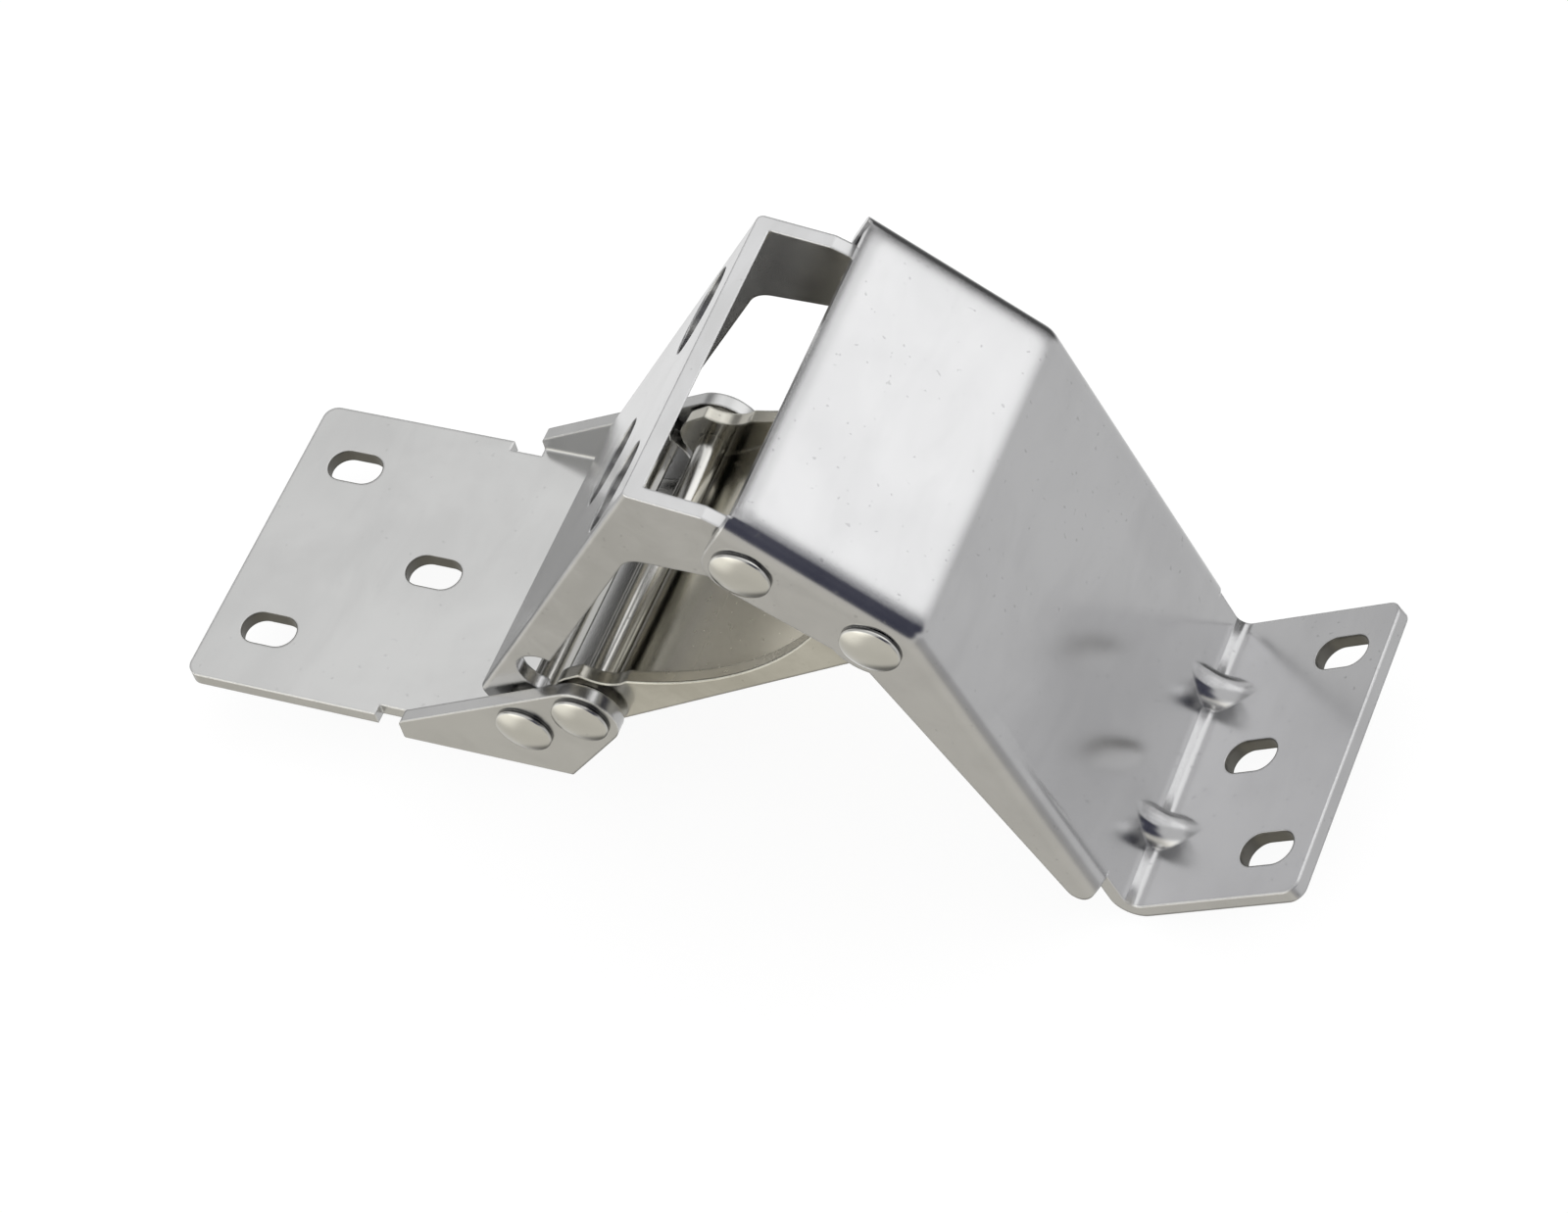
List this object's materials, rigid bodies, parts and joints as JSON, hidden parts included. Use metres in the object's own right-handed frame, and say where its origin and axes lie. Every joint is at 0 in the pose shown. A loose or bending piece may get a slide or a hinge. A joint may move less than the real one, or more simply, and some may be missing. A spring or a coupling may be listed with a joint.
{
  "type": "cabinet hinge",
  "caption": "Folding sheet-steel cabinet hinge: a flat screw leaf and a boxed cover bracket joined by an outer and an inner channel link on riveted pins.",
  "frame": {"origin": "on the underside of the mounting leaf, on its centre line, midway between its outer pair of slots and its inner slot", "axes": "+Z out of the leaf, away from the cabinet; +X along the leaf towards the bracket; the pivots run along Y; the hinge stands part open as pictured"},
  "size_m": [0.1998, 0.0704, 0.0902],
  "materials": {
    "mounting_leaf": "satin zinc plate",
    "outer_link": "satin zinc plate",
    "inner_link": "satin zinc plate",
    "cover_bracket": "bright zinc plate",
    "pin": "bright zinc plate",
    "washer": "plain zinc plate"
  },
  "bodies": {
    "leaf": {"mounting_leaf": "mounting_leaf", "leaf_outer_pin": "pin", "leaf_inner_pin": "pin", "leaf_outer_washer_front": "washer", "leaf_outer_washer_back": "washer", "leaf_inner_washer_front": "washer", "leaf_inner_washer_back": "washer"},
    "outer_link": {"outer_link": "outer_link"},
    "inner_link": {"inner_link": "inner_link"},
    "bracket": {"cover_bracket": "cover_bracket", "bracket_outer_pin": "pin", "bracket_inner_pin": "pin", "bracket_outer_washer_front": "washer", "bracket_outer_washer_back": "washer", "bracket_inner_washer_front": "washer", "bracket_inner_washer_back": "washer"}
  },
  "joints": [
    {"name": "fold", "type": "hinge", "parent": "leaf", "child": "outer_link", "pos_m": [0.04565, 0, 0.01196], "axis": [0, -1, 0], "range_deg": [-18, 122.8]},
    {"name": "inner_link_turn", "type": "hinge", "parent": "leaf", "child": "inner_link", "pos_m": [0.05751, 0, 0.01869], "axis": [0, -1, 0], "range_deg": [-19.7, 133.9]},
    {"name": "bracket_turn", "type": "hinge", "parent": "inner_link", "child": "bracket", "pos_m": [0.11557, 0, 0.05677], "axis": [0, -1, 0], "range_deg": [-72.9, 10.8]}
  ],
  "couplings": [
    {"joint": "inner_link_turn", "follows": "fold", "ratio": 1.09},
    {"joint": "bracket_turn", "follows": "fold", "ratio": -0.593}
  ]
}
